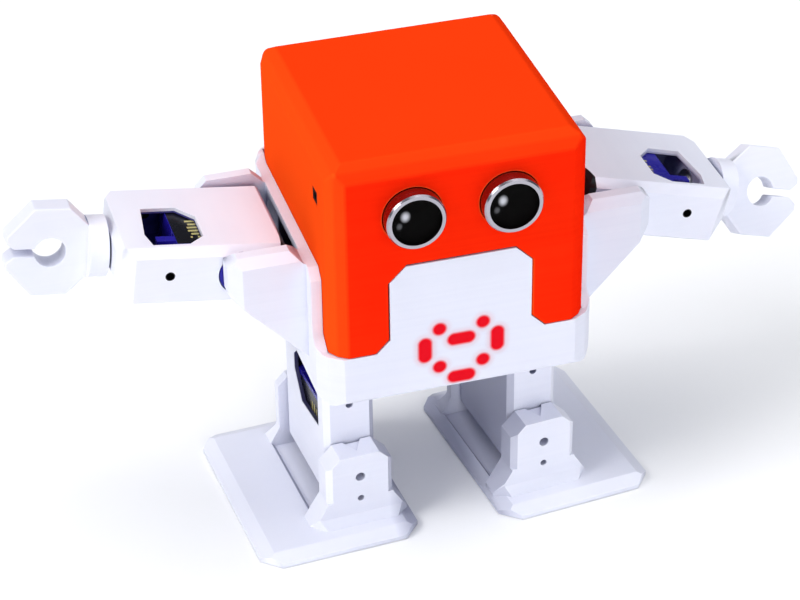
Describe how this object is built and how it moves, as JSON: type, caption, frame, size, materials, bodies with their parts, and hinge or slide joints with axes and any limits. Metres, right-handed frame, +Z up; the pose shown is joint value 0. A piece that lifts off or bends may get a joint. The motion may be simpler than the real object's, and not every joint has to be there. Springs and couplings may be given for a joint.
{
  "type": "walking toy robot",
  "caption": "Two-legged toy robot with box head, sonar eyes, glowing heart panel, servo legs on flat feet and servo arms ending in C-shaped claws.",
  "frame": {"origin": "on the floor under the middle of the robot's overall box", "axes": "+X runs across both arms, to the right for a viewer facing the robot; the face looks to -Y; +Z is up"},
  "size_m": [0.2254, 0.0778, 0.125],
  "materials": {
    "white_print": "satin printed layers",
    "orange_print": "satin gloss printed layers",
    "servo_blue": "smooth tinted moulding",
    "nylon": "moulded nylon",
    "steel": "plated",
    "can_metal": "satin drawn metal",
    "mesh_black": "fine black mesh",
    "cone_grey": "matt",
    "board_blue": "solder mask",
    "board_teal": "solder mask",
    "board_green": "solder mask",
    "led_block": "satin",
    "led_red": "lit",
    "cell_wrap": "shrink wrap",
    "black_plastic": "moulded"
  },
  "bodies": {
    "torso": {"torso_shell": "white_print", "head_shell": "orange_print", "sonar_board": "board_blue", "sonar_can_L": "can_metal", "sonar_can_R": "can_metal", "sonar_mesh_L": "mesh_black", "sonar_mesh_R": "mesh_black", "sonar_cones": "cone_grey", "led_matrix": "led_block", "led_driver": "board_green", "led_heart": "led_red", "controller_board": "board_teal", "servo_shield": "board_blue", "board_screws": "steel", "buzzer": "black_plastic", "side_socket": "black_plastic", "battery_holder": "black_plastic", "battery_cells": "cell_wrap", "switch_body": "black_plastic", "hip_servo_L": "servo_blue", "hip_servo_R": "servo_blue", "hip_screws": "steel", "shoulder_drive_L": "nylon", "shoulder_drive_R": "nylon", "shoulder_pin_L": "steel", "shoulder_pin_R": "steel"},
    "switch": {"switch_lever": "black_plastic"},
    "leg_L": {"leg_shell_L": "white_print", "ankle_servo_L": "servo_blue", "ankle_ear_screws_L": "steel", "hip_drive_L": "nylon"},
    "foot_L": {"foot_L": "white_print", "ankle_drive_L": "nylon", "ankle_screws_L": "steel", "ankle_pin_L": "steel"},
    "arm_L": {"arm_shell_L": "white_print", "shoulder_servo_L": "servo_blue", "arm_ear_screws_L": "steel"},
    "hand_L": {"claw_L": "white_print", "wrist_screw_L": "steel"},
    "leg_R": {"leg_shell_R": "white_print", "ankle_servo_R": "servo_blue", "ankle_ear_screws_R": "steel", "hip_drive_R": "nylon"},
    "foot_R": {"foot_R": "white_print", "ankle_drive_R": "nylon", "ankle_screws_R": "steel", "ankle_pin_R": "steel"},
    "arm_R": {"arm_shell_R": "white_print", "shoulder_servo_R": "servo_blue", "arm_ear_screws_R": "steel"},
    "hand_R": {"claw_R": "white_print", "wrist_screw_R": "steel"}
  },
  "joints": [
    {"name": "hip_yaw_left", "type": "hinge", "parent": "torso", "child": "leg_L", "pos_m": [-0.0263, 0.00205, 0.05], "axis": [0, 0, 1], "range_deg": [-18.72, 11.28]},
    {"name": "hip_yaw_right", "type": "hinge", "parent": "torso", "child": "leg_R", "pos_m": [0.0263, 0.00205, 0.05], "axis": [0, 0, 1], "range_deg": [-20.91, 9.09]},
    {"name": "ankle_roll_left", "type": "hinge", "parent": "leg_L", "child": "foot_L", "pos_m": [-0.0263, 0.00205, 0.0183], "axis": [-0.0649, 0.9979, 0], "range_deg": [-12, 35]},
    {"name": "ankle_roll_right", "type": "hinge", "parent": "leg_R", "child": "foot_R", "pos_m": [0.0263, 0.00205, 0.0183], "axis": [-0.103, 0.9947, 0], "range_deg": [-35, 12]},
    {"name": "shoulder_left", "type": "hinge", "parent": "torso", "child": "arm_L", "pos_m": [-0.0534, 0.00205, 0.08575], "axis": [0, 1, 0], "range_deg": [-63.25, 81.75]},
    {"name": "shoulder_right", "type": "hinge", "parent": "torso", "child": "arm_R", "pos_m": [0.0534, 0.00205, 0.08575], "axis": [0, -1, 0], "range_deg": [-39.54, 105.46]},
    {"name": "wrist_left", "type": "hinge", "parent": "arm_L", "child": "hand_L", "pos_m": [-0.1009, 0.00425, 0.09264], "axis": [-0.9897, 0, 0.1435], "range_deg": [-90, 90]},
    {"name": "wrist_right", "type": "hinge", "parent": "arm_R", "child": "hand_R", "pos_m": [0.09966, 0.00425, 0.07296], "axis": [0.9638, 0, -0.2666], "range_deg": [-90, 90]},
    {"name": "power_switch", "type": "slide", "parent": "torso", "child": "switch", "axis": [1, 0, 0], "range_m": [0, 0.0036]}
  ]
}
